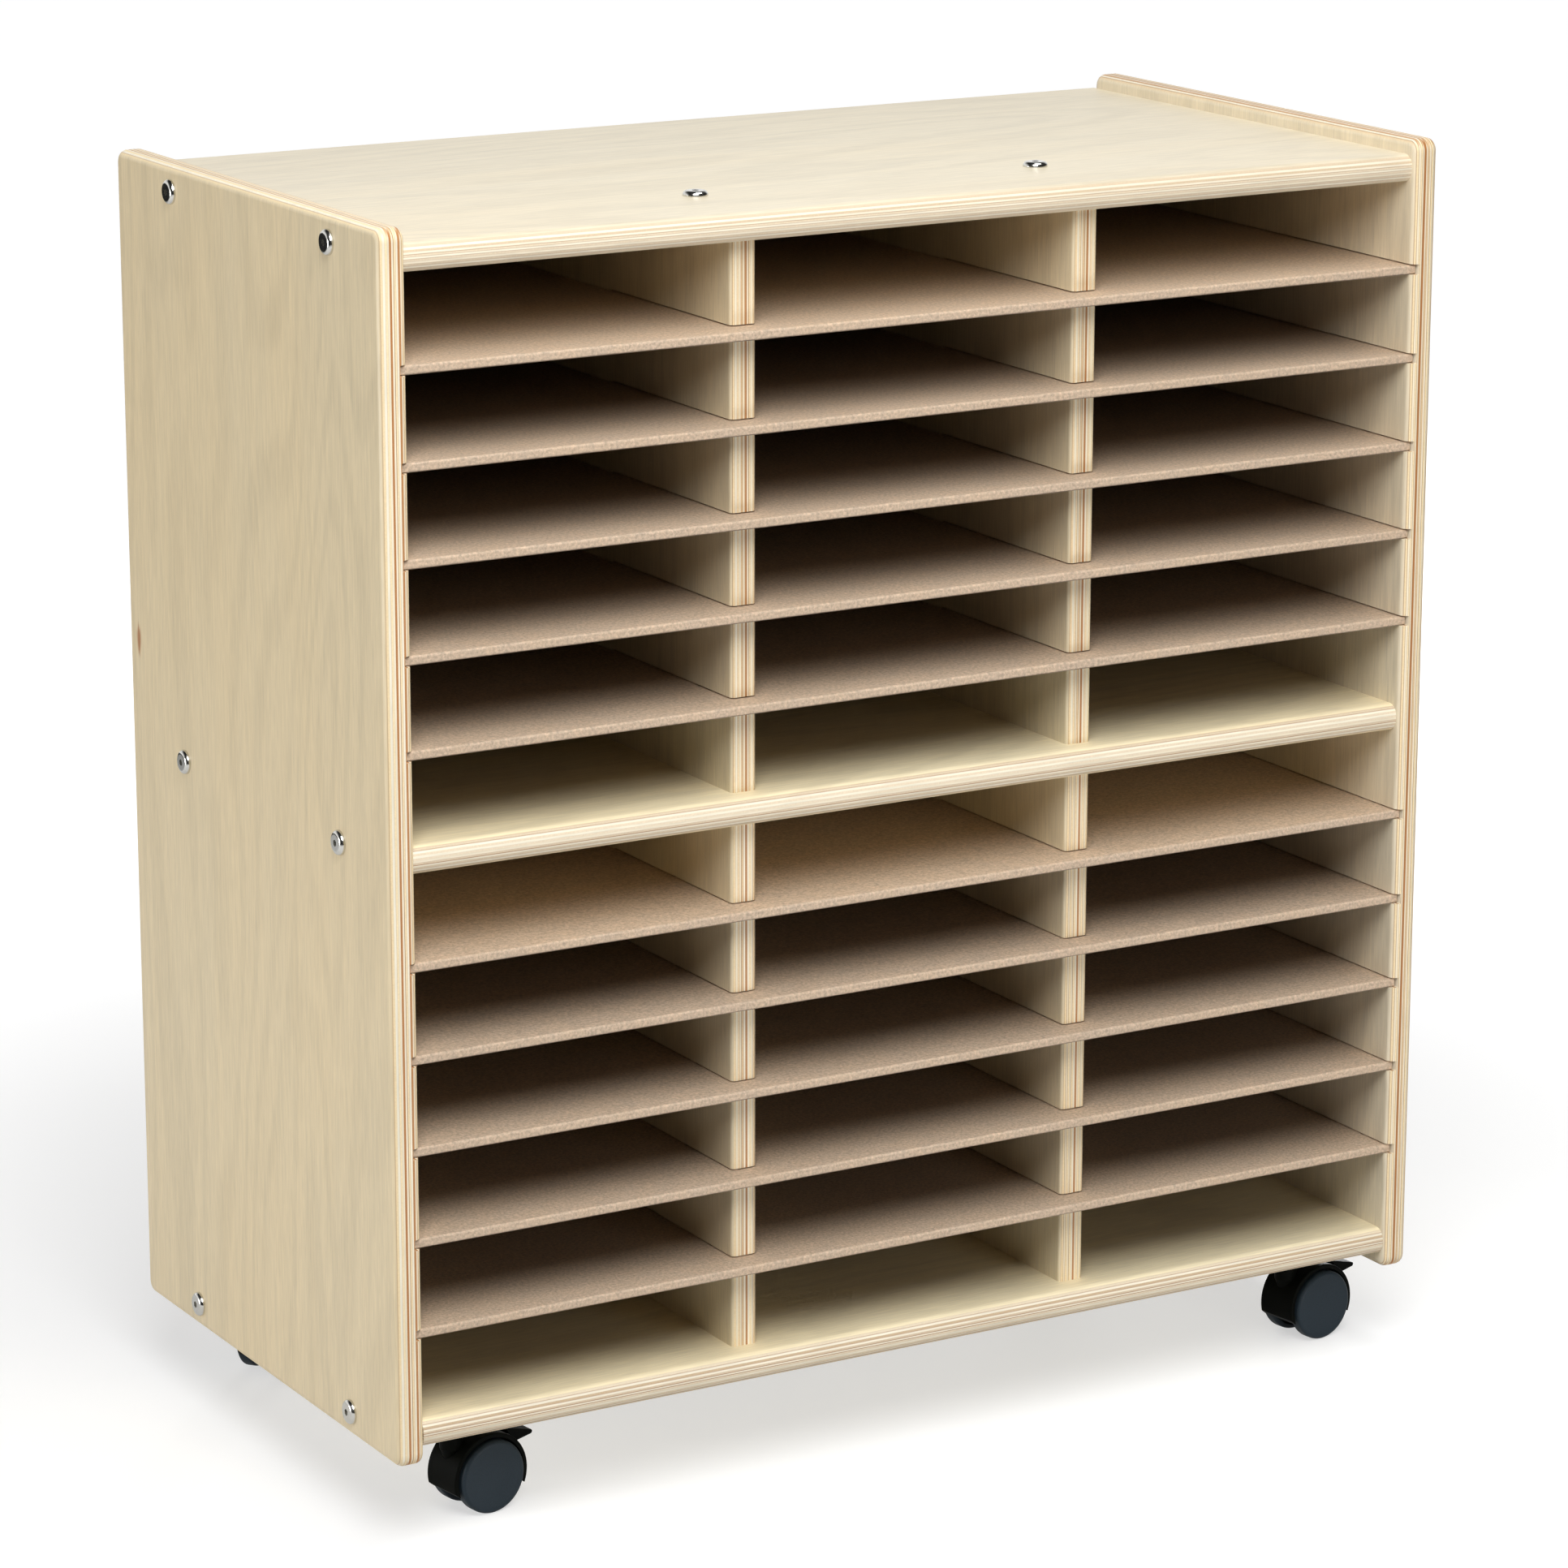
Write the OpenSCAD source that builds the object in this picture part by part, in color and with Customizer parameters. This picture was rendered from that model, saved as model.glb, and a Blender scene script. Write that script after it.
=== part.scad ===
// Mobile classroom mailbox: a birch plywood cabinet with loose hardboard shelves on twin-wheel casters.
// +X is to the right, the open slots face -Y, +Z is up, and the origin is on the floor under the centre.

/* [Cabinet] */
// Width over the two side panels
cabinet_w = 762; // [660:1:860]
// Depth of the side panels, front to back
cabinet_d = 381; // [330:1:450]
// Height of the side panels
side_h = 770; // [690:1:860]
// Thickness of the birch plywood
ply_t = 18; // [15:0.5:21]
// How far the side panels stand past the top and bottom panels
side_lip = 10; // [6:0.5:16]
// Setback of the top and middle panels behind the side panels' front edges
panel_setback = 4; // [1:0.5:10]
// Setback of the bottom panel behind the side panels' front edges
bottom_setback = 2; // [1:0.5:10]

/* [Rounded edges] */
// Round-over along the side panels' edges
side_edge_r = 5; // [2:0.5:7]
// Corner radius of the side panels' outline
side_corner_r = 8; // [7.5:0.5:20]
// Bullnose radius on the front edges of the top, middle and bottom panels
panel_nose_r = 8; // [2:0.5:8]
// Round-over on the dividers' front edges
divider_edge_r = 3; // [1:0.5:6]
// Round-over on the shelves' front edges
shelf_edge_r = 1.5; // [0.5:0.25:1.75]

/* [Dividers] */
// Setback of the dividers behind the side panels' front edges
divider_setback = 22; // [10:1:40]
// Depth from the side panels' front edges to the end of the dividers' slots
lap_depth = 177; // [120:1:230]

/* [Shelves] */
// Thickness of the hardboard shelves
shelf_t = 6; // [4:0.5:8]
// Setback of the shelves behind the side panels' front edges
shelf_setback = 3; // [1:0.5:12]
// Depth of the shelf grooves in the side panels
groove_depth = 5; // [3:0.5:8]
// Gap above a shelf in its grooves and slots
groove_play = 0.8; // [0.4:0.1:1.5]
// Gap between a shelf's end and the bottom of its groove
shelf_end_gap = 0.8; // [0.3:0.1:2]
// Gap behind a shelf
shelf_rear_gap = 1; // [0.5:0.25:6]
// Gap between a shelf's notch and the divider, on each side and at the notch's end
notch_gap = 0.6; // [0.3:0.1:1.5]
// How much taller the first and last slot of each half are than the others
end_slot_extra = 1.6; // [0:0.2:6]

/* [Back] */
// Thickness of the back panel
back_t = 6; // [4:0.5:9]
// How far the back panel laps into its rebate
back_lap = 9; // [7:0.5:10]
// Gap round the back panel's edge in its rebate
back_gap = 0.3; // [0.1:0.1:1]
// Length of the back screws
back_screw_len = 20; // [14:1:30]
// Diameter of the back screws' shanks
back_screw_d = 3.5; // [3:0.25:4]
// Diameter of the back screws' countersunk heads
back_screw_head_d = 6.8; // [5.5:0.1:7]
// Depth of the back screws' countersunk heads
back_screw_head_h = 2; // [1.5:0.25:3]

/* [Bolts] */
// Diameter of the domed bolt heads
bolt_head_d = 16; // [12:0.5:20]
// Height of the bolt heads
bolt_head_h = 3.4; // [3:0.2:4.4]
// Round-over on the rim of the bolt heads
bolt_head_edge_r = 2.8; // [0.4:0.2:2.8]
// Diameter of the bolt shanks
bolt_d = 6; // [5:0.5:8]
// Length of the bolt shanks
bolt_len = 36; // [30:1:40]
// Width of the hexagon socket across its flats
socket_width = 4; // [3:0.5:5]
// Depth of the hexagon socket
socket_depth = 2.2; // [1:0.2:3]
// Outer diameter of the threaded insert nuts
insert_d = 9; // [8:0.5:10]
// Length of the threaded insert nuts
insert_len = 20; // [12:1:24]
// Distance from the side panels' front edges to the front side bolts
side_bolt_front = 68; // [40:1:110]
// Distance from the side panels' rear edges to the rear side bolts
side_bolt_rear = 85; // [40:1:130]
// How far the top and bottom side bolts sit outside the middle of the panels' thickness
side_bolt_outset = 2.5; // [0:0.25:2.75]
// Distance from the side panels' front edges to the divider bolts
divider_bolt_front = 82; // [60:1:100]

/* [Dowels] */
// Diameter of the wooden dowels
dowel_d = 8; // [6:0.5:10]
// How far a dowel reaches into a divider
dowel_bite = 16; // [10:1:25]
// How far a dowel reaches into the top or bottom panel
dowel_panel_bite = 10; // [6:1:12]
// Distance from the side panels' front edges to the front dowels
dowel_front = 120; // [115:1:150]
// Distance from the side panels' rear edges to the rear dowels
dowel_rear = 80; // [40:1:120]

/* [Casters] */
// Height of a caster from the floor to the bottom panel
caster_h = 68; // [66:1:85]
// Distance from a side panel's outer face to the swivel axis
caster_side_inset = 62; // [60:1:90]
// Distance from the side panels' front edges to the front casters' swivel axes
front_caster_inset = 53; // [45:1:90]
// Distance from the side panels' rear edges to the rear casters' swivel axes
rear_caster_inset = 46; // [40:1:90]
// Angle by which the front casters are turned
front_caster_yaw = 9; // [-45:0.5:45]
// Angle by which the rear casters are turned
rear_caster_yaw = 40; // [-45:0.5:45]
// Distance from the swivel axis to the axle
caster_trail = 20; // [16:0.5:22]
// Diameter of the wheels
wheel_d = 48; // [46:1:52]
// Width of one wheel
wheel_w = 10; // [9:0.5:14]
// Round-over on the wheels' rims
wheel_edge_r = 2.5; // [0.5:0.25:3]
// Thickness of the wheels' treads and faces
wheel_wall = 3; // [2:0.5:5]
// Outer diameter of the wheels' hubs
hub_d = 14; // [11:0.5:18]
// Diameter of the axles
axle_d = 6; // [5:0.5:8]
// Thickness of the web between the two wheels
web_t = 16; // [11:0.5:20]
// Gap between a wheel and the web
wheel_side_gap = 0.5; // [0.3:0.1:1]
// Gap between the wheels' treads and the hood
hood_gap = 1.4; // [0.6:0.1:2]
// Wall of the hood
hood_wall = 2.8; // [2:0.2:3.6]
// Round-over on the hood's outer edges
hood_edge_r = 0.9; // [0.3:0.1:1.5]
// How far the wheels' faces stand out past the hood
wheel_proud = 3.3; // [0.5:0.1:5]
// How far the hood's ends reach below the axle, as an angle
hood_drop = 22; // [18:1:28]
// Diameter of the hood's neck
neck_d = 15; // [14:0.5:20]
// Diameter of the kingpins
kingpin_d = 8; // [6:0.5:10]
// Width of the square mounting plates
plate_w = 38; // [36:1:50]
// Thickness of the mounting plates
plate_t = 2.5; // [2:0.25:4]
// Corner radius of the mounting plates
plate_corner_r = 5; // [2:0.5:8]
// Distance between the mounting plates' screw holes
plate_hole_pitch = 28; // [26:1:30]
// Gap between the neck and the mounting plate
neck_gap = 0.5; // [0.3:0.1:0.9]
// Diameter of the caster screws' shanks
caster_screw_d = 4; // [3:0.25:5]
// How far the caster screws reach into the bottom panel
caster_screw_bite = 13; // [8:0.5:14]
// Diameter of the caster screws' heads
caster_screw_head_d = 7.5; // [6:0.25:8]
// Height of the caster screws' heads
caster_screw_head_h = 2; // [1.5:0.25:3]

/* [Brake levers] */
// Width of the pedal
pedal_w = 13; // [9:0.5:18]
// How far the pedal stands out past the wheel
pedal_reach = 13; // [9:0.5:16]
// Radius of the bead along the pedal's tip
pedal_bead_r = 1.5; // [0.8:0.1:2]
// Thickness of the arm inside the web
lever_arm_t = 5.4; // [4:0.2:6]
// Radius of the boss round the lever's pin
lever_boss_r = 3.4; // [2.8:0.1:4]
// Diameter of the lever's pin
lever_pin_d = 3; // [2:0.25:3.5]
// Depth of the lever's pin below the wheel's tread
lever_pin_depth = 6.6; // [6:0.2:9]
// Travel of the lever from released to locked, in degrees
lever_travel = 12; // [6:1:14]

/* [Hidden] */
$fn = 64;
// Radial clearance of what turns, of what is driven or glued in, and of bolts in their holes
running_fit = 0.05;
driven_fit = 0.02;
bolt_fit = 0.25;
// Overshoot of cuts past the faces that they open
cut = 1;
// Flat left between the two roundings of a bullnose
nose_flat = 0.4;
// Gap past the end of an axle, a kingpin and a wheel's hub
end_gap = 0.5;
// Shares of the hood's wall into which the neck and the web reach
neck_root = 0.25;
web_root = 0.5;
// How far the web reaches below the axle
web_drop = 5;
// Angle between the outer and inner edges of the hood's slanted ends, and the sector trimmed off past them
hood_slant = 9;
hood_trim = 8;
// Step from a kingpin to its riveted spigot
kingpin_step = 1;
// Length of a kingpin inside the neck
kingpin_len = 24;
// Angle above the axle where the neck's tapered foot starts, and the foot's radius there
neck_foot_angle = 20;
neck_foot_r = 3;
// Angle of the lever's pin above the axle, and the angles between which the hood is slotted for the lever
lever_pin_angle = 60;
lever_slot_from = 18;
lever_slot_to = 52;
// Gap between the lever and what surrounds it
lever_gap = 0.6;
// Angle of the pedal's root above the axle, and its gap to the hood
pedal_root_angle = 31;
pedal_root_gap = 0.4;
// Height of the pedal's tip above the lever's pin
pedal_rise = 3.4;
// Angle of the pedal's heel above the axle, and its height over the hood
pedal_heel_angle = 55;
pedal_heel_lift = 2.8;
// Share of a caster screw's head that is rounded
screw_dome = 0.6;

shelves_per_half = 5;
inner_x = cabinet_w / 2 - ply_t;
front_y = -cabinet_d / 2;
rear_y = cabinet_d / 2;
back_front_y = rear_y - back_t;
side_z = caster_h - side_lip;
bottom_z = caster_h;
top_z = side_z + side_h - side_lip - ply_t;
middle_z = (bottom_z + top_z) / 2;
half_clear = middle_z - bottom_z - ply_t;
lower_base = bottom_z + ply_t;
upper_base = middle_z + ply_t;
bay_w = (2 * inner_x - 2 * ply_t) / 3;
bay_pitch = bay_w + ply_t;
divider_x = bay_pitch / 2;
nose_r = min(panel_nose_r, (ply_t - nose_flat) / 2);

slot_h = (half_clear - shelves_per_half * shelf_t - 2 * end_slot_extra) / (shelves_per_half + 1);
end_slot_h = slot_h + end_slot_extra;
shelf_pitch = slot_h + shelf_t;
shelf_half_w = inner_x + groove_depth - shelf_end_gap;
lap_y = front_y + lap_depth;
function shelf_z(base, i) = base + end_slot_h + i * shelf_pitch;
function slot_mid_z(base, i) = shelf_z(base, i) - slot_h / 2;

side_bolt_ys = [front_y + side_bolt_front, rear_y - side_bolt_rear];
side_bolt_zs = [bottom_z + ply_t / 2 - side_bolt_outset, middle_z + ply_t / 2,
    top_z + ply_t / 2 + side_bolt_outset];
divider_bolt_y = front_y + divider_bolt_front;
dowel_front_y = front_y + dowel_front;
dowel_rear_y = rear_y - dowel_rear;
bolt_hole_r = bolt_d / 2 + bolt_fit;
socket_bore = max(insert_len, bolt_len - ply_t) + end_gap;

back_half_w = inner_x + back_lap - back_gap;
back_z0 = lower_base - back_lap + back_gap;
back_z1 = top_z + back_lap - back_gap;
back_screw_places = concat(
    [for (s = [-1, 1], base = [lower_base, upper_base], i = [1, shelves_per_half - 1])
        [s * (inner_x + back_lap / 2), slot_mid_z(base, i)]],
    [for (x = [-bay_pitch, 0, bay_pitch], z = [lower_base - back_lap / 2, middle_z + ply_t / 2,
        top_z + back_lap / 2]) [x, z]]);

caster_x = cabinet_w / 2 - caster_side_inset;
front_caster_y = front_y + front_caster_inset;
rear_caster_y = rear_y - rear_caster_inset;
wheel_r = wheel_d / 2;
wheel_in = web_t / 2 + wheel_side_gap;
hub_depth = wheel_w - wheel_wall;
axle_half = wheel_in + hub_depth - end_gap;
hood_in_r = wheel_r + hood_gap;
hood_out_r = hood_in_r + hood_wall;
hood_half_w = wheel_in + wheel_w - wheel_proud;
neck_top_z = caster_h - plate_t - neck_gap;
kingpin_z = neck_top_z - kingpin_len;
plate_z = caster_h - plate_t;

// Points of the lever round the axle: x to the trailing side, y up
function polar(r, a) = [r * cos(a), r * sin(a)];
lever_pin_at = polar(wheel_r - lever_pin_depth, lever_pin_angle);
pedal_root = polar(hood_out_r + pedal_root_gap, pedal_root_angle);
pedal_tip = [wheel_r + pedal_reach, lever_pin_at[1] + pedal_rise];
pedal_heel = polar(hood_out_r + pedal_heel_lift, pedal_heel_angle);
lever_top = pedal_tip[1] + pedal_bead_r;

// Each caster: its name, the place of its swivel axis, its turn and whether it has a brake
CASTERS = [
    ["front_left", [-caster_x, front_caster_y], front_caster_yaw, true],
    ["front_right", [caster_x, front_caster_y], front_caster_yaw, true],
    ["rear_left", [-caster_x, rear_caster_y], rear_caster_yaw, false],
    ["rear_right", [caster_x, rear_caster_y], rear_caster_yaw, false],
];
CASTER_PIECES = ["caster_plate", "kingpin", "hood", "axle", "wheel_front", "wheel_rear"];
BRAKE_PIECES = ["brake_lever", "brake_pin"];
HALVES = [["upper", upper_base], ["lower", lower_base]];
SIDES = [["left", -1], ["right", 1]];

birch = "#dcc298";
hardboard = "#8c7a69";
nickel = "#c8c8c4";
zinc = "#9fa3a6";
beech = "#c9a878";
nylon = "#26282b";
wheel_grey = "#3a4148";

// Frames: a section drawn in x and y is swept along X with x as depth and y as height
module along_x(len) {
    rotate([90, 0, 90])
        linear_extrude(len, center = true)
            children();
}

// A board's section with its front edge at x = 0 rounded by r above and below
module nosed_section(depth, t, r) {
    translate([r, 0])
        square([depth - r, t]);
    translate([0, r])
        square([depth, t - 2 * r]);
    for (y = [r, t - r])
        translate([r, y])
            circle(r);
}

// The outer strip of a plate's section: reach from the plate's middle, both outer edges rounded by r
module rim_section(reach, t, r) {
    intersection() {
        square([reach, t]);
        union() {
            square([reach - r, t]);
            translate([0, r])
                square([reach, t - 2 * r]);
            for (y = [r, t - r])
                translate([reach - r, y])
                    circle(r);
        }
    }
}

// A plate with rounded corners and rounded edges, lying in x and y with its thickness along z
module rounded_plate(w, h, t, edge_r, corner_r) {
    translate([corner_r, corner_r, 0])
        cube([w - 2 * corner_r, h - 2 * corner_r, t]);
    corners = [[w - corner_r, h - corner_r], [corner_r, h - corner_r], [corner_r, corner_r],
        [w - corner_r, corner_r]];
    for (k = [0 : 3])
        translate(corners[k])
            rotate(90 * k) {
                rotate_extrude(angle = 90)
                    rim_section(corner_r, t, edge_r);
                rotate([90, 0, 0])
                    linear_extrude((k % 2 == 0 ? h : w) - 2 * corner_r)
                        rim_section(corner_r, t, edge_r);
            }
}

module rod(r, len) {
    cylinder(r = r, h = len);
}

// Places of the repeated fasteners
module at_back_screws() {
    for (p = back_screw_places)
        translate([p[0], rear_y, p[1]])
            rotate([90, 0, 0])
                children();
}

module at_side_bolts(s) {
    for (y = side_bolt_ys, z = side_bolt_zs)
        translate([s * cabinet_w / 2, y, z])
            rotate([0, -s * 90, 0])
                children();
}

module at_divider_bolts(upper) {
    for (s = [-1, 1])
        translate([s * divider_x, divider_bolt_y, upper ? top_z + ply_t : bottom_z])
            rotate([upper ? 180 : 0, 0, 0])
                children();
}

module at_caster_screws() {
    for (c = CASTERS, sx = [-1, 1], sy = [-1, 1])
        translate([c[1][0] + sx * plate_hole_pitch / 2, c[1][1] + sy * plate_hole_pitch / 2, plate_z])
            children();
}

// The dowels: right through the middle panel, and blind into the top and bottom panels at the rear
module each_dowel(grow) {
    r = dowel_d / 2 + grow;
    for (s = [-1, 1]) {
        for (y = [dowel_front_y, dowel_rear_y])
            translate([s * divider_x, y, middle_z - dowel_bite - grow])
                rod(r, ply_t + 2 * (dowel_bite + grow));
        for (z = [lower_base - dowel_panel_bite, top_z - dowel_bite])
            translate([s * divider_x, dowel_rear_y, z - grow])
                rod(r, dowel_panel_bite + dowel_bite + 2 * grow);
    }
}

// Carcass
module side_panel() {
    inner_face = -inner_x;
    color(birch)
        difference() {
            translate([-cabinet_w / 2, front_y, side_z])
                rotate([90, 0, 90])
                    rounded_plate(cabinet_d, side_h, ply_t, side_edge_r, side_corner_r);
            for (h = HALVES, i = [0 : shelves_per_half - 1])
                translate([inner_face - groove_depth, front_y - cut, shelf_z(h[1], i)])
                    cube([groove_depth + cut, cabinet_d - back_t + cut, shelf_t + groove_play]);
            translate([inner_face - back_lap, back_front_y, back_z0 - back_gap])
                cube([back_lap + cut, back_t + cut, back_z1 - back_z0 + 2 * back_gap]);
            at_side_bolts(-1)
                translate([0, 0, -cut])
                    rod(bolt_hole_r, ply_t + 2 * cut);
            at_back_screws()
                rod(back_screw_d / 2 + driven_fit, back_screw_len + driven_fit);
        }
}

module left_side_panel() {
    side_panel();
}

module right_side_panel() {
    mirror([1, 0, 0])
        side_panel();
}

// A board between the side panels, with sockets in its ends for the insert nuts
module cross_panel(z, setback, depth) {
    difference() {
        translate([0, front_y + setback, z])
            along_x(2 * inner_x)
                nosed_section(depth, ply_t, nose_r);
        for (s = [-1, 1])
            at_side_bolts(s)
                translate([0, 0, ply_t])
                    rod(insert_d / 2 + driven_fit, socket_bore);
        each_dowel(driven_fit);
        at_back_screws()
            rod(back_screw_d / 2 + driven_fit, back_screw_len + driven_fit);
    }
}

module top_panel() {
    color(birch)
        difference() {
            cross_panel(top_z, panel_setback, cabinet_d - panel_setback);
            translate([-inner_x - cut, back_front_y, top_z - cut])
                cube([2 * (inner_x + cut), back_t + cut, back_lap + cut]);
            at_divider_bolts(true)
                translate([0, 0, -cut])
                    rod(bolt_hole_r, ply_t + 2 * cut);
        }
}

module middle_panel() {
    color(birch)
        cross_panel(middle_z, panel_setback, cabinet_d - panel_setback - back_t);
}

module bottom_panel() {
    color(birch)
        difference() {
            cross_panel(bottom_z, bottom_setback, cabinet_d - bottom_setback);
            translate([-inner_x - cut, back_front_y, lower_base - back_lap])
                cube([2 * (inner_x + cut), back_t + cut, back_lap + cut]);
            at_divider_bolts(false)
                translate([0, 0, -cut])
                    rod(bolt_hole_r, ply_t + 2 * cut);
            at_caster_screws()
                rod(caster_screw_d / 2 + driven_fit, plate_t + caster_screw_bite + driven_fit);
        }
}

module back_panel() {
    color(hardboard)
        difference() {
            translate([-back_half_w, back_front_y, back_z0])
                cube([2 * back_half_w, back_t, back_z1 - back_z0]);
            at_back_screws()
                back_screw(driven_fit);
        }
}

module divider(s, base, upper) {
    color(birch)
        difference() {
            translate([s * divider_x, front_y + divider_setback, base])
                linear_extrude(half_clear)
                    rotate(90)
                        translate([0, -ply_t / 2])
                            nosed_section(back_front_y - front_y - divider_setback, ply_t, divider_edge_r);
            for (i = [0 : shelves_per_half - 1])
                translate([s * divider_x - ply_t / 2 - cut, front_y, shelf_z(base, i)])
                    cube([ply_t + 2 * cut, lap_depth, shelf_t + groove_play]);
            at_divider_bolts(upper)
                translate([0, 0, ply_t])
                    rod(insert_d / 2 + driven_fit, socket_bore);
            each_dowel(driven_fit);
        }
}

// Shelf i counted from the bottom of its half
module shelf(base, i) {
    depth = back_front_y - shelf_rear_gap - front_y - shelf_setback;
    color(hardboard)
        difference() {
            translate([0, front_y + shelf_setback, shelf_z(base, i)])
                along_x(2 * shelf_half_w)
                    nosed_section(depth, shelf_t, shelf_edge_r);
            for (s = [-1, 1])
                translate([s * divider_x - ply_t / 2 - notch_gap, lap_y - notch_gap, shelf_z(base, i) - cut])
                    cube([ply_t + 2 * notch_gap, cabinet_d, shelf_t + 2 * cut]);
        }
}

// Fasteners
module bolt() {
    color(nickel)
        difference() {
            union() {
                rotate([180, 0, 0])
                    rotate_extrude()
                        bolt_head_section();
                rod(bolt_d / 2, bolt_len);
            }
            translate([0, 0, -bolt_head_h - cut])
                cylinder(d = socket_width / cos(30), h = socket_depth + cut, $fn = 6);
        }
}

module bolt_head_section() {
    r = bolt_head_d / 2;
    square([r - bolt_head_edge_r, bolt_head_h]);
    square([r, bolt_head_h - bolt_head_edge_r]);
    intersection() {
        translate([r - bolt_head_edge_r, bolt_head_h - bolt_head_edge_r])
            circle(bolt_head_edge_r);
        square([r, bolt_head_h]);
    }
}

module insert_nut() {
    color(zinc)
        translate([0, 0, ply_t])
            difference() {
                rod(insert_d / 2, insert_len);
                translate([0, 0, -cut])
                    rod(bolt_d / 2 + running_fit, insert_len + 2 * cut);
            }
}

module back_screw(grow) {
    r = back_screw_d / 2 + grow;
    head_r = back_screw_head_d / 2 + grow;
    rotate_extrude()
        polygon([[0, 0], [head_r, 0], [r, back_screw_head_h + grow], [r, back_screw_len],
            [0, back_screw_len]]);
}

module caster_screw() {
    head_r = caster_screw_head_d / 2;
    dome_r = caster_screw_head_h * screw_dome;
    rotate_extrude() {
        square([caster_screw_d / 2, plate_t + caster_screw_bite]);
        translate([0, -caster_screw_head_h])
            square([head_r - dome_r, caster_screw_head_h]);
        intersection() {
            translate([head_r - dome_r, -caster_screw_head_h + dome_r])
                circle(dome_r);
            translate([0, -caster_screw_head_h])
                square([head_r, caster_screw_head_h]);
        }
        translate([0, -caster_screw_head_h + dome_r])
            square([head_r, caster_screw_head_h - dome_r]);
    }
}

module side_bolts(s) {
    at_side_bolts(s)
        bolt();
}

module divider_bolts(upper) {
    at_divider_bolts(upper)
        bolt();
}

module panel_insert_nuts() {
    for (s = [-1, 1])
        at_side_bolts(s)
            insert_nut();
}

module divider_insert_nuts() {
    for (upper = [true, false])
        at_divider_bolts(upper)
            insert_nut();
}

module divider_dowels() {
    color(beech)
        each_dowel(0);
}

module back_screws() {
    color(zinc)
        at_back_screws()
            back_screw(0);
}

module caster_screws() {
    color(zinc)
        at_caster_screws()
            caster_screw();
}

// Casters: drawn about the swivel axis with the axle on the trailing side, along X
module caster_at(c) {
    translate(c[1])
        rotate(c[2])
            children();
}

// About the axle: x to the trailing side, y up, z towards the cabinet's front
module at_axle() {
    translate([caster_trail, 0, wheel_r])
        rotate([90, 0, 0])
            children();
}

module caster_plate() {
    half = plate_w / 2;
    r = plate_corner_r;
    color(zinc)
        translate([0, 0, plate_z])
            difference() {
                linear_extrude(plate_t) {
                    square([plate_w, plate_w - 2 * r], center = true);
                    square([plate_w - 2 * r, plate_w], center = true);
                    for (sx = [-1, 1], sy = [-1, 1])
                        translate([sx * (half - r), sy * (half - r)])
                            circle(r);
                }
                translate([0, 0, -cut])
                    rod(kingpin_d / 2 - kingpin_step + driven_fit, plate_t + 2 * cut);
                for (sx = [-1, 1], sy = [-1, 1])
                    translate([sx * plate_hole_pitch / 2, sy * plate_hole_pitch / 2, -cut])
                        rod(caster_screw_d / 2 + bolt_fit, plate_t + 2 * cut);
            }
}

// The mounting plates lie square to the cabinet, while their hoods are turned
module plate_at(c) {
    translate(c[1])
        children();
}

module kingpin() {
    color(zinc) {
        translate([0, 0, kingpin_z + end_gap])
            rod(kingpin_d / 2, plate_z - kingpin_z - end_gap);
        translate([0, 0, plate_z])
            rod(kingpin_d / 2 - kingpin_step, plate_t);
    }
}

module hood_section() {
    translate([hood_in_r, -hood_half_w])
        square([hood_wall - hood_edge_r, 2 * hood_half_w]);
    translate([hood_in_r, -hood_half_w + hood_edge_r])
        square([hood_wall, 2 * (hood_half_w - hood_edge_r)]);
    for (s = [-1, 1])
        translate([hood_out_r - hood_edge_r, s * (hood_half_w - hood_edge_r)])
            circle(hood_edge_r);
}

module web_outline() {
    r = hood_in_r + hood_wall * web_root;
    intersection() {
        circle(r);
        translate([-r, -web_drop])
            square([2 * r, 2 * r]);
    }
}

// The neck with a tapered foot that runs into the hood, kept clear of the wheels
module neck() {
    foot_z = wheel_r + hood_in_r * sin(neck_foot_angle);
    neck_z = wheel_r + sqrt(hood_out_r * hood_out_r - caster_trail * caster_trail);
    difference() {
        union() {
            translate([0, 0, foot_z])
                cylinder(r1 = neck_foot_r, r2 = neck_d / 2, h = neck_z - foot_z);
            translate([0, 0, neck_z])
                rod(neck_d / 2, neck_top_z - neck_z);
        }
        at_axle()
            cylinder(r = hood_in_r + hood_wall * neck_root, h = 2 * neck_d, center = true);
    }
}

// What is trimmed off at a hood's end: all on the right hand of the way from one point to another
module end_trim(from, to) {
    reach = hood_out_r / 4;
    way = reach * (to - from) / norm(to - from);
    aside = 2 * [way[1], -way[0]];
    a = from - way;
    b = to + way;
    linear_extrude(2 * (hood_half_w + cut), center = true)
        polygon([a, b, b + aside, a + aside]);
}

// The shell round the wheels, open below, with slanted ends
module hood_shell() {
    sweep = hood_drop + hood_trim;
    low = hood_drop - hood_slant;
    difference() {
        rotate(-sweep)
            rotate_extrude(angle = 180 + 2 * sweep)
                hood_section();
        end_trim(polar(hood_in_r, -low), polar(hood_out_r, -hood_drop));
        end_trim(polar(hood_out_r, 180 + low), polar(hood_in_r, 180 + hood_drop));
    }
}

module hood(brake) {
    color(nylon)
        difference() {
            union() {
                at_axle() {
                    hood_shell();
                    linear_extrude(web_t, center = true)
                        web_outline();
                }
                neck();
            }
            translate([0, 0, kingpin_z])
                rod(kingpin_d / 2 + running_fit, neck_top_z - kingpin_z + cut);
            at_axle()
                cylinder(r = axle_d / 2 + driven_fit, h = 2 * web_t, center = true);
            if (brake)
                at_axle()
                    lever_room();
        }
}

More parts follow.
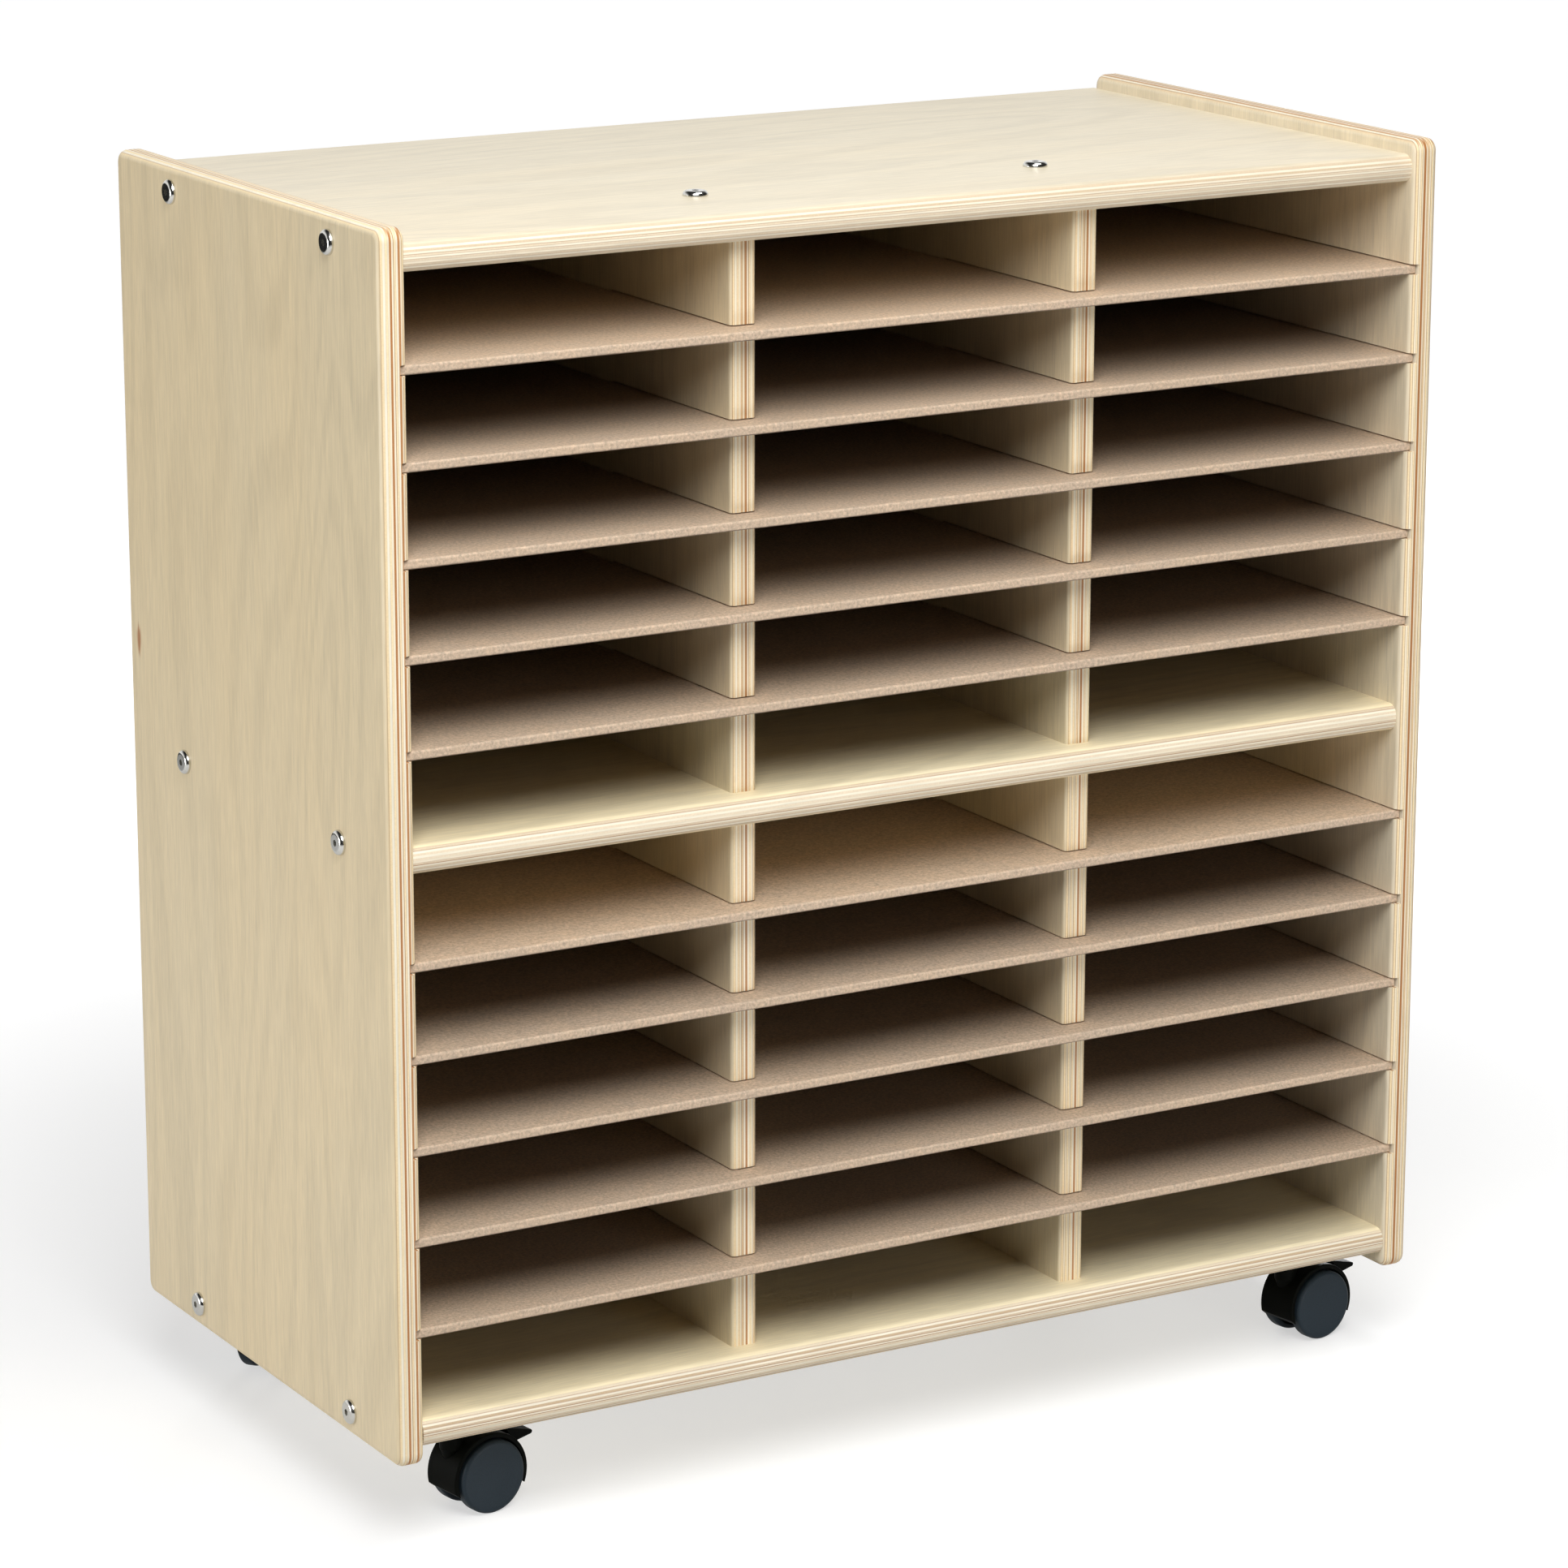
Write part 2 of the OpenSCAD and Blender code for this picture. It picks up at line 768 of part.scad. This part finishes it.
// Room for the lever: a pocket in the web, a wider slot through the hood and the pin's hole
module lever_room() {
    far = 2 * hood_out_r;
    pocket_x = lever_pin_at[0] - lever_boss_r - lever_gap;
    pocket_bottom = lever_pin_at[1] - lever_boss_r - lever_gap;
    pocket_mouth = pocket_bottom - (hood_out_r - pocket_x) * tan(lever_travel / 2);
    pocket_top = lever_top + lever_gap;
    linear_extrude(lever_arm_t + lever_gap, center = true)
        polygon([[pocket_x, pocket_bottom], [hood_out_r, pocket_mouth], [hood_out_r, pocket_top],
            [pocket_x, pocket_top]]);
    linear_extrude(pedal_w + 2 * lever_gap, center = true)
        difference() {
            polygon([[0, 0], polar(far, lever_slot_from), polar(far, lever_slot_to)]);
            circle(hood_in_r - lever_gap);
        }
    translate(lever_pin_at)
        cylinder(r = lever_pin_d / 2 + driven_fit, h = 2 * web_t, center = true);
}

module axle() {
    color(zinc)
        at_axle()
            cylinder(r = axle_d / 2, h = 2 * axle_half, center = true);
}

module wheel_section() {
    difference() {
        rim_section(wheel_r, wheel_w, wheel_edge_r);
        square([axle_d / 2 + running_fit, hub_depth]);
        translate([hub_d / 2, 0])
            square([wheel_r - wheel_wall - hub_d / 2, hub_depth - end_gap]);
    }
}

// side is 1 for the wheel towards the front and -1 for the wheel towards the rear
module wheel(side) {
    color(wheel_grey)
        at_axle()
            mirror([0, 0, side < 0 ? 1 : 0])
                translate([0, 0, wheel_in])
                    rotate_extrude()
                        wheel_section();
}

module brake_lever() {
    root_x = pedal_root[0];
    color(nylon)
        at_axle()
            difference() {
                union() {
                    linear_extrude(lever_arm_t, center = true) {
                        translate(lever_pin_at)
                            circle(lever_boss_r);
                        polygon([lever_pin_at + [0, lever_boss_r], lever_pin_at - [0, lever_boss_r],
                            pedal_root + [cut, 0], [root_x + cut, lever_top]]);
                    }
                    linear_extrude(pedal_w, center = true) {
                        polygon([pedal_root, pedal_tip - [0, pedal_bead_r], pedal_tip + [0, pedal_bead_r],
                            pedal_heel]);
                        translate(pedal_tip)
                            circle(pedal_bead_r);
                    }
                }
                translate(lever_pin_at)
                    cylinder(r = lever_pin_d / 2 + running_fit, h = 2 * web_t, center = true);
            }
}

module brake_pin() {
    color(zinc)
        at_axle()
            translate(lever_pin_at)
                cylinder(r = lever_pin_d / 2, h = web_t, center = true);
}

left_side_panel();
right_side_panel();
top_panel();
middle_panel();
bottom_panel();
back_panel();
for (h = HALVES, s = SIDES)
    divider(s[1], h[1], h[0] == "upper");
for (h = HALVES, i = [1 : shelves_per_half])
    shelf(h[1], shelves_per_half - i);
side_bolts(-1);  // left_side_bolts
side_bolts(1);  // right_side_bolts
divider_bolts(true);  // top_bolts
divider_bolts(false);  // bottom_bolts
panel_insert_nuts();
divider_insert_nuts();
divider_dowels();
back_screws();
caster_screws();
for (c = CASTERS) {
    plate_at(c) caster_plate();
    caster_at(c) kingpin();
    caster_at(c) hood(c[3]);
    caster_at(c) axle();
    caster_at(c) wheel(1);
    caster_at(c) wheel(-1);
    if (c[3]) {
        caster_at(c) brake_lever();
        caster_at(c) brake_pin();
    }
}
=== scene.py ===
import math

import bpy
from mathutils import Matrix, Vector


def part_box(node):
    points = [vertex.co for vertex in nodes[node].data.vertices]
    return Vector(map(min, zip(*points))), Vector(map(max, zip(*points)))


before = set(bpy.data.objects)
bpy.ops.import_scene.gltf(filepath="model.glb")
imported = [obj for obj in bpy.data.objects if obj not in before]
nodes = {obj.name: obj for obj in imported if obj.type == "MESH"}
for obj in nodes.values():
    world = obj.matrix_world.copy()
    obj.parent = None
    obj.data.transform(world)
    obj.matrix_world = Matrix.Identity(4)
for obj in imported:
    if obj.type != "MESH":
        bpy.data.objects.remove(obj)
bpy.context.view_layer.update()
scene = bpy.context.scene
scene.view_settings.view_transform = "Standard"

X, Y, Z = 0, 1, 2
WHITE = (1, 1, 1, 1)

# The photograph's width in pixels, and the width of the sensor that the focal length is given for
PHOTO_PX = 1932
SENSOR_MM = 36


# Camera, from a perspective fit to the photograph
def make_camera():
    azimuth, elevation, roll = map(math.radians, (-30.016, 14.583, 0.042))
    focal_px, distance, target_z, slide = 6969.4, 3.7405, 0.4028, 0.0018
    back = Vector((math.sin(azimuth) * math.cos(elevation), -math.cos(azimuth) * math.cos(elevation),
                   math.sin(elevation)))
    right = Vector((0, 0, 1)).cross(back).normalized()
    up = back.cross(right)
    right, up = (right * math.cos(roll) + up * math.sin(roll), up * math.cos(roll) - right * math.sin(roll))
    data = bpy.data.cameras.new("camera")
    data.sensor_width = SENSOR_MM
    data.lens = SENSOR_MM * focal_px / PHOTO_PX
    data.clip_start, data.clip_end = 0.1, 50
    camera = bpy.data.objects.new("camera", data)
    scene.collection.objects.link(camera)
    place = Vector((0, 0, target_z)) + back * distance + right * slide
    camera.matrix_world = Matrix.Translation(place) @ Matrix((right, up, back)).transposed().to_4x4()
    scene.camera = camera


make_camera()


# A material's node tree, with short calls for the nodes that the finishes below are made of
class Tree:
    def __init__(self, name):
        self.material = bpy.data.materials.new(name)
        self.material.use_nodes = True
        self.tree = self.material.node_tree
        self.tree.nodes.clear()
        self.output = self.tree.nodes.new("ShaderNodeOutputMaterial")

    def node(self, kind, inputs=None, **settings):
        made = self.tree.nodes.new("ShaderNode" + kind)
        for name, value in settings.items():
            setattr(made, name, value)
        for name, value in (inputs or {}).items():
            self.plug(value, made.inputs[name])
        return made

    def plug(self, value, socket):
        if isinstance(value, bpy.types.NodeSocket):
            self.tree.links.new(value, socket)
        else:
            socket.default_value = value

    def math(self, operation, a, b=0.0, c=0.0, clamp=False):
        return self.node("Math", {0: a, 1: b, 2: c}, operation=operation, use_clamp=clamp).outputs[0]

    def add(self, a, b):
        return self.math("ADD", a, b)

    def mul(self, a, b):
        return self.math("MULTIPLY", a, b)

    # Maps a value from one range to another, smoothly and clamped
    def span(self, value, from_lo, from_hi, to_lo=0.0, to_hi=1.0):
        made = self.node("MapRange", {"Value": value, "From Min": from_lo, "From Max": from_hi, "To Min": to_lo,
                                      "To Max": to_hi}, interpolation_type="SMOOTHSTEP")
        return made.outputs["Result"]

    def mix(self, share, a, b, blend="MIX"):
        made = self.node("Mix", data_type="RGBA", blend_type=blend)
        self.plug(share, made.inputs[0])
        for value, socket in ((a, made.inputs[6]), (b, made.inputs[7])):
            self.plug(value if isinstance(value, bpy.types.NodeSocket) else (*value, 1), socket)
        return made.outputs[2]

    def tint(self, colour, amount):
        return self.node("VectorMath", {0: colour, 1: self.grey(amount)}, operation="MULTIPLY").outputs[0]

    def grey(self, value):
        return self.node("CombineXYZ", {0: value, 1: value, 2: value}).outputs[0]

    def stretch(self, vector, scale, offset=0.0):
        place = (offset, offset * 0.7, offset * 1.3)
        return self.node("Mapping", {"Vector": vector, "Location": place, "Scale": tuple(scale)}).outputs[0]

    # Noise about zero, from about -1 to 1
    def noise(self, vector, scale=1.0, detail=3.0, roughness=0.55, distortion=0.0):
        made = self.node("TexNoise", {"Vector": vector, "Scale": scale, "Detail": detail, "Roughness": roughness,
                                      "Distortion": distortion})
        return self.math("MULTIPLY_ADD", made.outputs["Fac"], 2.0, -1.0)

    def finish(self, colour, roughness, height=None, bump=0.1, depth=0.0002, **constants):
        shader = self.node("BsdfPrincipled", {"Base Color": colour, "Roughness": roughness})
        for name, value in constants.items():
            shader.inputs[name.replace("_", " ")].default_value = value
        if height is not None:
            made = self.node("Bump", {"Height": height, "Strength": bump, "Distance": depth})
            self.plug(made.outputs["Normal"], shader.inputs["Normal"])
        self.plug(shader.outputs[0], self.output.inputs["Surface"])
        return self.material


def dress(node, material):
    mesh = nodes[node].data
    mesh.materials.clear()
    mesh.materials.append(material)


# Birch plywood as a solid: thirteen plies across the board, each with its grain along or across the face's. A pair of
# colours is the palest and the darkest that a ply can have, cut along its fibres (edge) or across them (end)
PLIES = 13
PLY_EDGE = ((0.92, 0.85, 0.69), (0.84, 0.73, 0.53))
PLY_END = ((0.9, 0.74, 0.46), (0.45, 0.18, 0.04))
GLUE = (0.33, 0.13, 0.035)
KNOT = (0.42, 0.2, 0.09)


def plywood(node, across, grain, face, seed, edge=PLY_EDGE, end=PLY_END, lines=1.5, knot=None):
    side = 3 - across - grain
    lo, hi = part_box(node)
    t = Tree("birch_" + node)
    coordinates = t.node("TexCoord")
    place = coordinates.outputs["Object"]
    split = t.node("SeparateXYZ", {0: place}).outputs
    facing = [t.math("ABSOLUTE", s) for s in t.node("SeparateXYZ", {0: coordinates.outputs["Normal"]}).outputs]

    def along(fast, slow):
        scale = [0, 0, 0]
        scale[grain], scale[side], scale[across] = slow, fast, fast
        return scale

    def luck(number, offset):
        return t.node("TexWhiteNoise", {"W": t.add(number, offset)}, noise_dimensions="1D").outputs["Value"]

    # Which ply a point lies in, with its edges wandering a little, and how near it is to a glue line
    wander = t.mul(t.noise(t.stretch(place, along(9.0, 3.0), seed), 1.0, 2.0), 0.12)
    depth = t.math("SUBTRACT", split[across], lo[across])
    layer = t.math("MULTIPLY_ADD", depth, PLIES / (hi[across] - lo[across]), wander)
    layer = t.math("MINIMUM", t.math("MAXIMUM", layer, 0.02), PLIES - 0.02)
    index = t.math("FLOOR", layer)
    crossed = t.math("MODULO", index, 2.0)
    shifted = t.add(layer, 0.5)
    seam = t.math("ABSOLUTE", t.math("SUBTRACT", t.math("FRACT", shifted), 0.5))
    glue = t.mul(t.span(seam, 0.26, 0.06), t.math("POWER", luck(t.math("FLOOR", shifted), seed + 0.3), lines))

    # End grain shows where a ply is cut across its own fibres
    cut = t.add(t.mul(facing[grain], t.math("SUBTRACT", 1.0, crossed)), t.mul(facing[side], crossed))
    cut = t.span(cut, 0.2, 0.8)

    # Figure of the peeled face veneer: clouds, growth rings in long loops, fibres, short flecks and pores
    clouds = t.noise(t.stretch(place, along(5.0, 2.0), seed), 1.0, 3.0, 0.5, 0.6)
    bands = t.noise(t.stretch(place, along(26.0, 1.6), seed + 3), 1.0, 4.0, 0.6, 1.2)
    fibres = t.noise(t.stretch(place, along(420.0, 9.0), seed + 5), 1.0, 3.0, 0.65)
    flecks = t.noise(t.stretch(place, along(800.0, 45.0), seed + 6), 1.0, 2.0, 0.6)
    pores = t.span(t.noise(t.stretch(place, along(900.0, 55.0), seed + 7), 1.0, 2.0, 0.5), 0.32, 0.62)
    field = t.noise(t.stretch(place, along(4.2, 0.9), seed + 9), 1.0, 2.0, 0.5, 0.4)
    rings = t.math("SINE", t.math("MULTIPLY_ADD", field, 60.0, t.mul(bands, 1.6)))
    rings = t.mul(t.span(rings, -0.2, 1.0), t.span(bands, -0.6, 0.5, 0.3, 1.0))
    figure = t.add(t.mul(clouds, 0.06), t.add(t.mul(bands, 0.03), t.mul(fibres, 0.06)))
    figure = t.add(figure, t.mul(flecks, 0.18))
    figure = t.math("SUBTRACT", figure, t.add(t.mul(pores, 0.08), t.mul(rings, 0.08)))

    warm = t.span(t.add(clouds, t.mul(bands, 0.4)), -0.5, 0.6)
    veneer = t.mix(warm, face, [c * k for c, k in zip(face, (0.995, 0.97, 0.93))])
    fortune = luck(index, seed)
    core = (PLIES - 1) / 2
    outer = t.math("COMPARE", t.math("ABSOLUTE", t.math("SUBTRACT", index, core)), core, 0.1)
    long_colour = t.tint(t.mix(outer, t.mix(fortune, *edge), veneer), t.add(figure, 1.0))
    speckle = t.noise(t.stretch(place, (1, 1, 1), seed), 900.0, 3.0, 0.7)
    end_colour = t.tint(t.mix(t.math("POWER", fortune, 1.6), *end), t.math("MULTIPLY_ADD", speckle, 0.16, 1.0))
    colour = t.mix(cut, long_colour, end_colour)
    bare = t.span(facing[across], 0.97, 0.6)
    colour = t.mix(t.mul(t.mul(glue, bare), 0.85), colour, GLUE)
    if knot:
        middle, size = knot
        offset = t.node("VectorMath", {0: place, 1: middle}, operation="SUBTRACT").outputs[0]
        scaled = t.node("VectorMath", {0: offset, 1: size}, operation="DIVIDE").outputs[0]
        reach = t.node("VectorMath", {0: scaled}, operation="LENGTH").outputs["Value"]
        ragged = t.add(reach, t.mul(flecks, 0.5))
        colour = t.mix(t.span(ragged, 1.2, 0.4), colour, KNOT)

    rough = t.add(t.math("MULTIPLY_ADD", fibres, 0.05, 0.42), t.mul(cut, 0.14))
    height = t.add(t.mul(fibres, 0.6), t.mul(pores, -0.8))
    dress(node, t.finish(colour, rough, height, 0.12, 0.00015))


# Face tones of the birch, partly each panel's own veneer and partly painted light: the right side, the dividers and
# the middle and bottom panels are painted paler than the left side and the top, standing in for light inside the
# shaded slots and on the right side's top lip
LEFT_FACE = (0.74, 0.618, 0.408)
RIGHT_FACE_WITH_PAINTED_LIGHT = (0.84, 0.745, 0.565)
TOP_FACE = (0.765, 0.685, 0.525)
INNER_FACE_WITH_PAINTED_LIGHT = (0.95, 0.835, 0.57)
DIVIDER_FACE_WITH_PAINTED_LIGHT = (0.84, 0.74, 0.53)
NOSE_EDGE = ((0.88, 0.82, 0.67), (0.8, 0.7, 0.53))
NOSE_END = ((0.78, 0.66, 0.48), (0.5, 0.34, 0.19))
# The knot on the left panel's rear edge: its middle and its half lengths
EDGE_KNOT = ((-0.381, 0.1745, 0.51), (0.004, 0.0035, 0.011))
plywood("left_side_panel", X, Z, LEFT_FACE, 38.3, knot=EDGE_KNOT)
plywood("right_side_panel", X, Z, RIGHT_FACE_WITH_PAINTED_LIGHT, 243.3, lines=0.8)
plywood("top_panel", Z, X, TOP_FACE, 21.0, NOSE_EDGE, NOSE_END)
plywood("middle_panel", Z, X, INNER_FACE_WITH_PAINTED_LIGHT, 31.0, NOSE_EDGE, NOSE_END)
plywood("bottom_panel", Z, X, INNER_FACE_WITH_PAINTED_LIGHT, 41.0, NOSE_EDGE, NOSE_END)
for name, seed in (("upper_left", 34.5), ("upper_right", 36.8), ("lower_left", 80.3), ("lower_right", 178.3)):
    plywood(name + "_divider", X, Z, DIVIDER_FACE_WITH_PAINTED_LIGHT, seed)


# Hardboard: pressed fibre, mottled at several sizes, with short pale fibres lying along and across; faces that point
# down are painted darker, as painted shade under the shelves
UNDERSIDE_PAINTED_SHADE = 0.4


def hardboard(node, tone, seed):
    t = Tree("hardboard_" + node)
    coordinates = t.node("TexCoord").outputs
    place = coordinates["Object"]
    underside_shade_mask = t.span(t.node("SeparateXYZ", {0: coordinates["Normal"]}).outputs["Z"], -0.3, -0.8)
    mottle = t.noise(t.stretch(place, (1, 1, 1), seed), 60.0, 5.0, 0.65)
    grit = t.noise(t.stretch(place, (1, 1, 1), seed), 480.0, 3.0, 0.7)
    cloud = t.noise(t.stretch(place, (1, 1, 1), seed), 5.0, 2.0)
    threads_x = t.noise(t.stretch(place, (120, 1100, 1100), seed + 2), 1.0, 2.0, 0.6, 0.8)
    threads_y = t.noise(t.stretch(place, (1100, 120, 1100), seed + 4), 1.0, 2.0, 0.6, 0.8)
    pale = t.math("MAXIMUM", t.span(threads_x, 0.3, 0.7), t.span(threads_y, 0.3, 0.7))
    shade = t.add(t.mul(mottle, 0.1), t.add(t.mul(grit, 0.75), t.mul(cloud, 0.05)))
    # Faces that point down are scaled to the underside factor: painted shade under each shelf
    shade = t.mul(t.add(t.add(shade, t.mul(pale, 0.12)), 1.0), t.span(underside_shade_mask, 0.0, 1.0, 1.0, UNDERSIDE_PAINTED_SHADE))
    browner = [c * k for c, k in zip(tone, (1.0, 0.97, 0.93))]
    colour = t.tint(t.mix(t.span(mottle, -0.5, 0.5), tone, browner), shade)
    rough = t.math("MULTIPLY_ADD", grit, 0.08, 0.68)
    dress(node, t.finish(colour, rough, t.add(grit, t.mul(pale, 0.5)), 0.2, 0.0002))


SHELF_TONE = (0.54, 0.415, 0.303)
# The back panel is brown hardboard, painted darker still as painted shade at the backs of the slots
BACK_TONE_WITH_PAINTED_SHADE = (0.2, 0.14, 0.095)
for number in range(1, 6):
    hardboard(f"upper_shelf_{number}", SHELF_TONE, 3.0 * number)
    hardboard(f"lower_shelf_{number}", SHELF_TONE, 3.0 * number + 20)
hardboard("back_panel", BACK_TONE_WITH_PAINTED_SHADE, 50.0)


# Metals: plated, with fine turning marks and a little unevenness in the gloss
def plated(name, colour, gloss, members):
    t = Tree(name)
    place = t.node("TexCoord").outputs["Object"]
    wear = t.noise(place, 260.0, 4.0, 0.6)
    fine = t.noise(place, 1800.0, 2.0, 0.5)
    worn = t.mix(t.span(wear, -0.6, 0.7), colour, [c * 0.93 for c in colour])
    shade = t.tint(worn, t.math("MULTIPLY_ADD", fine, 0.03, 1.0))
    rough = t.math("MULTIPLY_ADD", wear, 0.05, gloss)
    material = t.finish(shade, rough, fine, 0.04, 0.00005, Metallic=1.0)
    for member in members:
        dress(member, material)


CASTERS = ["front_left", "front_right", "rear_left", "rear_right"]
BRAKED = CASTERS[:2]
BOLTS = ["left_side_bolts", "right_side_bolts", "top_bolts", "bottom_bolts"]
SMALL_METAL = ["panel_insert_nuts", "divider_insert_nuts", "back_screws", "caster_screws"]
SMALL_METAL += [c + p for c in CASTERS for p in ("_caster_plate", "_kingpin", "_axle")]
SMALL_METAL += [c + "_brake_pin" for c in BRAKED]
plated("nickel", (0.7, 0.69, 0.65), 0.18, BOLTS)
plated("zinc", (0.56, 0.57, 0.58), 0.34, SMALL_METAL)


# Moulded nylon: satin with a fine spark-eroded grain
def moulded(name, colour, rough, shine, members):
    t = Tree(name)
    place = t.node("TexCoord").outputs["Object"]
    grain = t.noise(place, 1500.0, 3.0, 0.6)
    cloud = t.noise(place, 45.0, 3.0, 0.5)
    shade = t.add(t.mul(grain, 0.4), t.math("MULTIPLY_ADD", cloud, 0.08, 1.0))
    gloss = t.math("MULTIPLY_ADD", grain, 0.05, t.math("MULTIPLY_ADD", cloud, 0.04, rough))
    base = t.mix(t.span(cloud, -0.6, 0.6), colour, [c * 0.88 for c in colour])
    material = t.finish(t.tint(base, shade), gloss, grain, 0.12, 0.0001, Specular_IOR_Level=shine)
    for member in members:
        dress(member, material)


HOODS = [c + "_hood" for c in CASTERS] + [c + "_brake_lever" for c in BRAKED]
WHEELS = [c + w for c in CASTERS for w in ("_wheel_front", "_wheel_rear")]
moulded("hood_nylon", (0.004, 0.0045, 0.0035), 0.45, 0.03, HOODS)
moulded("wheel_nylon", (0.021, 0.033, 0.044), 0.46, 0.2, WHEELS)


# Beech, for the dowels inside the dividers
def beech(node, colour):
    t = Tree("beech_dowels")
    place = t.node("TexCoord").outputs["Object"]
    flecks = t.noise(t.stretch(place, (700, 700, 40)), 1.0, 3.0)
    shade = t.tint(colour, t.math("MULTIPLY_ADD", flecks, 0.12, 1.0))
    dress(node, t.finish(shade, 0.6, flecks, 0.1))


beech("divider_dowels", (0.62, 0.46, 0.3))


# A sheet of matt paper on a dark floor; the camera sees it brightened to white away from the cabinet, and metal and
# gloss see the near part of that too
FLOOR_HALF = 40
PAPER = ((0.54, 0.54, 0.54), (0.57, 0.57, 0.57))
FAR_FLOOR = (0.05, 0.05, 0.05)


def make_floor():
    t = Tree("floor")
    place = t.node("TexCoord").outputs["Object"]
    reach = t.node("VectorMath", {0: place}, operation="LENGTH").outputs["Value"]
    ray = t.node("LightPath").outputs
    mirrored = t.math("MAXIMUM", ray["Is Glossy Ray"], ray["Is Transmission Ray"])
    seen = t.math("MAXIMUM", ray["Is Camera Ray"], t.mul(mirrored, t.span(reach, 1.2, 2.4, 0.4, 0.0)))
    glow = t.mul(seen, t.span(reach, 0.6, 1.7, 0.55, 1.0))
    paper = t.mix(t.span(t.noise(place, 3.0, 2.0), -1.0, 1.0), *PAPER)
    shade = t.mix(t.span(reach, 2.0, 3.0), paper, FAR_FLOOR)
    matt = t.node("BsdfDiffuse", {"Color": shade})
    light = t.node("Emission", {"Color": WHITE, "Strength": glow})
    both = t.node("AddShader", {0: matt.outputs[0], 1: light.outputs[0]})
    t.plug(both.outputs[0], t.output.inputs["Surface"])
    mesh = bpy.data.meshes.new("floor")
    half = FLOOR_HALF
    mesh.from_pydata([(-half, -half, 0), (half, -half, 0), (half, half, 0), (-half, half, 0)], [], [(0, 1, 2, 3)])
    mesh.materials.append(t.material)
    floor = bpy.data.objects.new("floor", mesh)
    scene.collection.objects.link(floor)


# A white paper backdrop behind the cabinet and a dim room in front of it; the camera itself sees plain white, and
# so do metal and gloss where they mirror the backdrop
def make_world(room, backdrop):
    world = bpy.data.worlds.new("studio")
    scene.world = world
    world.use_nodes = True
    tree = world.node_tree
    tree.nodes.clear()

    def ramp(value, lo, hi, to_lo, to_hi):
        made = tree.nodes.new("ShaderNodeMapRange")
        made.interpolation_type = "SMOOTHSTEP"
        inputs = {"Value": value, "From Min": lo, "From Max": hi, "To Min": to_lo, "To Max": to_hi}
        for name, given in inputs.items():
            if isinstance(given, bpy.types.NodeSocket):
                tree.links.new(given, made.inputs[name])
            else:
                made.inputs[name].default_value = given
        return made.outputs["Result"]

    way = tree.nodes.new("ShaderNodeSeparateXYZ")
    tree.links.new(tree.nodes.new("ShaderNodeTexCoord").outputs["Generated"], way.inputs[0])
    ray = tree.nodes.new("ShaderNodeLightPath").outputs
    mirrored = tree.nodes.new("ShaderNodeMath")
    mirrored.operation = "MAXIMUM"
    tree.links.new(ray["Is Glossy Ray"], mirrored.inputs[0])
    tree.links.new(ray["Is Transmission Ray"], mirrored.inputs[1])
    paper = ramp(mirrored.outputs[0], 0.0, 1.0, backdrop, 1.0)
    studio = ramp(way.outputs["Y"], 0.0, 0.6, room, ramp(way.outputs["Z"], 0.3, 0.75, paper, room))
    background = tree.nodes.new("ShaderNodeBackground")
    background.inputs["Color"].default_value = WHITE
    tree.links.new(ramp(ray["Is Camera Ray"], 0.0, 1.0, studio, 1.0), background.inputs["Strength"])
    output = tree.nodes.new("ShaderNodeOutputWorld")
    tree.links.new(background.outputs[0], output.inputs["Surface"])


# A white disc of light, with its energy set so that a white matt face at its aim, square to it, renders at the level
def make_lamp(name, place, aim, size, level):
    data = bpy.data.lights.new(name, "AREA")
    data.shape = "DISK"
    data.size = size
    way = Vector(aim) - Vector(place)
    data.energy = level * math.pi ** 2 * way.length_squared
    lamp = bpy.data.objects.new(name, data)
    scene.collection.objects.link(lamp)
    lamp.location = place
    lamp.visible_camera = False
    lamp.rotation_mode = "QUATERNION"
    lamp.rotation_quaternion = way.to_track_quat("-Z", "Y")


make_floor()
make_world(room=0.02, backdrop=0.75)
make_lamp("key", (-0.75, -1.55, 2.1), (0, -0.1, 0.45), 1.5, 0.87)
make_lamp("left_fill", (-2.6, 0.4, 0.5), (-0.3, 0.1, 0.2), 1.0, 0.44)
make_lamp("overhead", (0.45, -0.65, 2.8), (0, 0, 0.8), 1.4, 0.6)
make_lamp("rear_fill", (2.2, 2.6, 0.42), (0, 0, 0.4), 0.7, 0.32)
make_lamp("low_fill", (0.4, -1.4, 0.14), (0, -0.19, 0.2), 0.5, 0.34)
